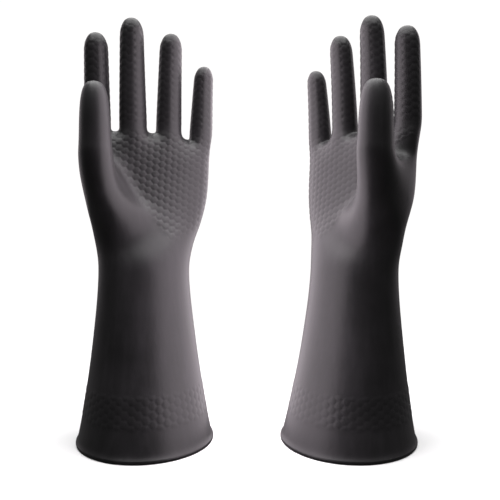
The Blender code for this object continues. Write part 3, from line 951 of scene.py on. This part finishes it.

# %% Place the pieces and join the cuff, rim and palm to their bodies
for side in ("left", "right"):
    for name, bm in pieces.items():
        finishes = (rim_finish,) if name == "rim" else (outside, inside)
        piece = placed(bm, side, side + "_" + name + "_skin", finishes)
        digit, _, part = name.partition("_")
        if name in ("cuff", "rim"):
            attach(piece, side + "_cuff")
            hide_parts(side + ("_cuff" if name == "cuff" else "_cuff_bead"))
        elif name == "palm":
            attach(piece, side + "_hand")
            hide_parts(side + "_palm")
        elif name == "wrist":
            follow_bend(piece, side, "wrist", "cuff", "hand", WRIST_SPAN, WRIST_SPAN)
            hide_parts(side + "_wrist_sleeve")
        elif part == "lower":
            spans = (THUMB_SPAN, THUMB_REACH) if digit == "thumb" else (ROOT_SPAN, ROOT_SPAN)
            follow_bend(piece, side, digit + "_root", "hand", name, *spans)
            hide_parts(f"{side}_{digit}_root_sleeve", f"{side}_{digit}_proximal")
        else:
            span = THUMB_KNUCKLE_SPAN if digit == "thumb" else KNUCKLE_SPAN
            follow_bend(piece, side, digit + "_knuckle", digit + "_lower", name, span, span)
            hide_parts(f"{side}_{digit}_knuckle_sleeve", f"{side}_{digit}_distal")
for bm in pieces.values():
    bm.free()
cage.free()
print("pieces", 2 * len(pieces))

# %% [markdown]
# ## The floor
#
# The gloves stand in a plain white studio. The floor is one sheet of white paper
# that fades out a little way off, so that no edge shows. Light that bounced off
# it would fill the rubber's dark side, and black rubber would mirror it, so the
# floor catches shadows but isn't seen in reflections or in bounced light.

# %% Floor
FLOOR_HALF, FLOOR_DROP = 1.5, 0.2 * MM
FADE_START, FADE_END = 0.24, 0.55
floor_mesh = bpy.data.meshes.new("studio_floor")
floor_bm = bmesh.new()
bmesh.ops.create_grid(floor_bm, x_segments=1, y_segments=1, size=FLOOR_HALF)
bmesh.ops.translate(floor_bm, vec=(0, 0, -FLOOR_DROP), verts=floor_bm.verts)
floor_bm.to_mesh(floor_mesh)
floor_bm.free()
floor = bpy.data.objects.new("studio_floor", floor_mesh)
bpy.context.scene.collection.objects.link(floor)
floor.visible_glossy = floor.visible_diffuse = False

white = bpy.data.materials.new("studio white")
white.use_nodes = True
tree = white.node_tree
paper = tree.nodes["Principled BSDF"]
paper.inputs["Base Color"].default_value = (0.95, 0.95, 0.95, 1)
paper.inputs["Roughness"].default_value = 0.9
paper.inputs["Specular IOR Level"].default_value = 0.1
far = tree.nodes.new("ShaderNodeVectorMath")
far.operation = "LENGTH"
link(tree, tree.nodes.new("ShaderNodeTexCoord").outputs["Object"], far.inputs[0])
link(tree, range_node(tree, far.outputs["Value"], FADE_START, FADE_END, 1.0, 0.0), paper.inputs["Alpha"])
floor_mesh.materials.append(white)
print("floor", 2 * FLOOR_HALF, "m wide, faded out", FADE_END, "m from the middle")

# %% [markdown]
# ## The light
#
# Black rubber shows almost nothing but reflections, so the lights are large and
# few. A big soft light hangs above and lights the floor. Two soft panels stand
# in the gap between the gloves, one shining towards each, and draw the satin
# highlight down its inner side, while the outer side stays dark. Two weak lights
# stand behind, to the left and right. The camera sees a white
# background, but the rubber is lit by a dim one, or it would look grey.

# %% Light
BACKGROUND_SEEN, BACKGROUND_LIT = 1.05, 0.06
world = bpy.data.worlds.new("studio")
bpy.context.scene.world = world
world.use_nodes = True
sky = world.node_tree.nodes["Background"]
sky.inputs["Color"].default_value = (1.0, 0.985, 0.98, 1)
rays = world.node_tree.nodes.new("ShaderNodeLightPath")
seen = rays.outputs["Is Camera Ray"]
level = range_node(world.node_tree, seen, 0.0, 1.0, BACKGROUND_LIT, BACKGROUND_SEEN)
link(world.node_tree, level, sky.inputs["Strength"])


def soft_light(name, place, aim, size, power, colour=(1, 1, 1)):
    """A rectangular soft light of size (wide, tall) metres at place, facing aim."""
    light = bpy.data.lights.new(name, "AREA")
    light.shape = "RECTANGLE"
    light.size, light.size_y = size
    light.energy = power
    light.color = colour
    holder = bpy.data.objects.new(name, light)
    holder.location = place
    holder.rotation_euler = (Vector(aim) - Vector(place)).to_track_quat("-Z", "Y").to_euler()
    holder.visible_camera = False
    bpy.context.scene.collection.objects.link(holder)


VIOLET = (1.0, 0.90, 0.965)
FILL_SIZE, FILL_POWER = (0.8, 0.8), 1.8
PANEL_SIZE, PANEL_POWER = (0.26, 0.40), 0.80
PANEL_HEIGHT, PANEL_OFFSET = 0.205, 0.004  # each panel starts just past the middle
soft_light("overhead", (0, 0.1, 1.3), (0, 0, 0), (1.6, 1.6), 30)
for side, out in (("left", -1), ("right", 1)):
    place = (out * 0.75, 0.75, 0.45)
    soft_light(side + "_back_fill", place, (0, 0, 0.2), FILL_SIZE, FILL_POWER, VIOLET)
for side, out in (("left", -1), ("right", 1)):
    place, aim = (-out * PANEL_OFFSET, 0.0, PANEL_HEIGHT), (out * 0.3, 0.0, PANEL_HEIGHT)
    soft_light(side + "_glove_panel", place, aim, PANEL_SIZE, PANEL_POWER, VIOLET)

# %% [markdown]
# ## The camera
#
# It stands half a metre in front of the pair, level with the palms, and looks a
# few degrees down, so that the rims show as shallow curves. From so near, a thumb
# in front looks larger than it would from far away.

# %% Camera
AIM_HEIGHT, EYE_HEIGHT, DISTANCE, ASIDE = 0.159, 0.201, 0.520, 0.0027
LENS = 45.48
stand_line = (stands["left"].translation.y + stands["right"].translation.y) / 2
eye = Vector((ASIDE, stand_line - DISTANCE, EYE_HEIGHT))
camera = bpy.data.objects.new("camera", bpy.data.cameras.new("camera"))
camera.data.lens = LENS
camera.location = eye
aim = Vector((ASIDE, stand_line, AIM_HEIGHT))
camera.rotation_euler = (aim - eye).to_track_quat("-Z", "Y").to_euler()
bpy.context.scene.collection.objects.link(camera)
bpy.context.scene.camera = camera
bpy.context.scene.view_settings.view_transform = "Standard"
print("camera at", tuple(round(v, 3) for v in eye), "lens", LENS)
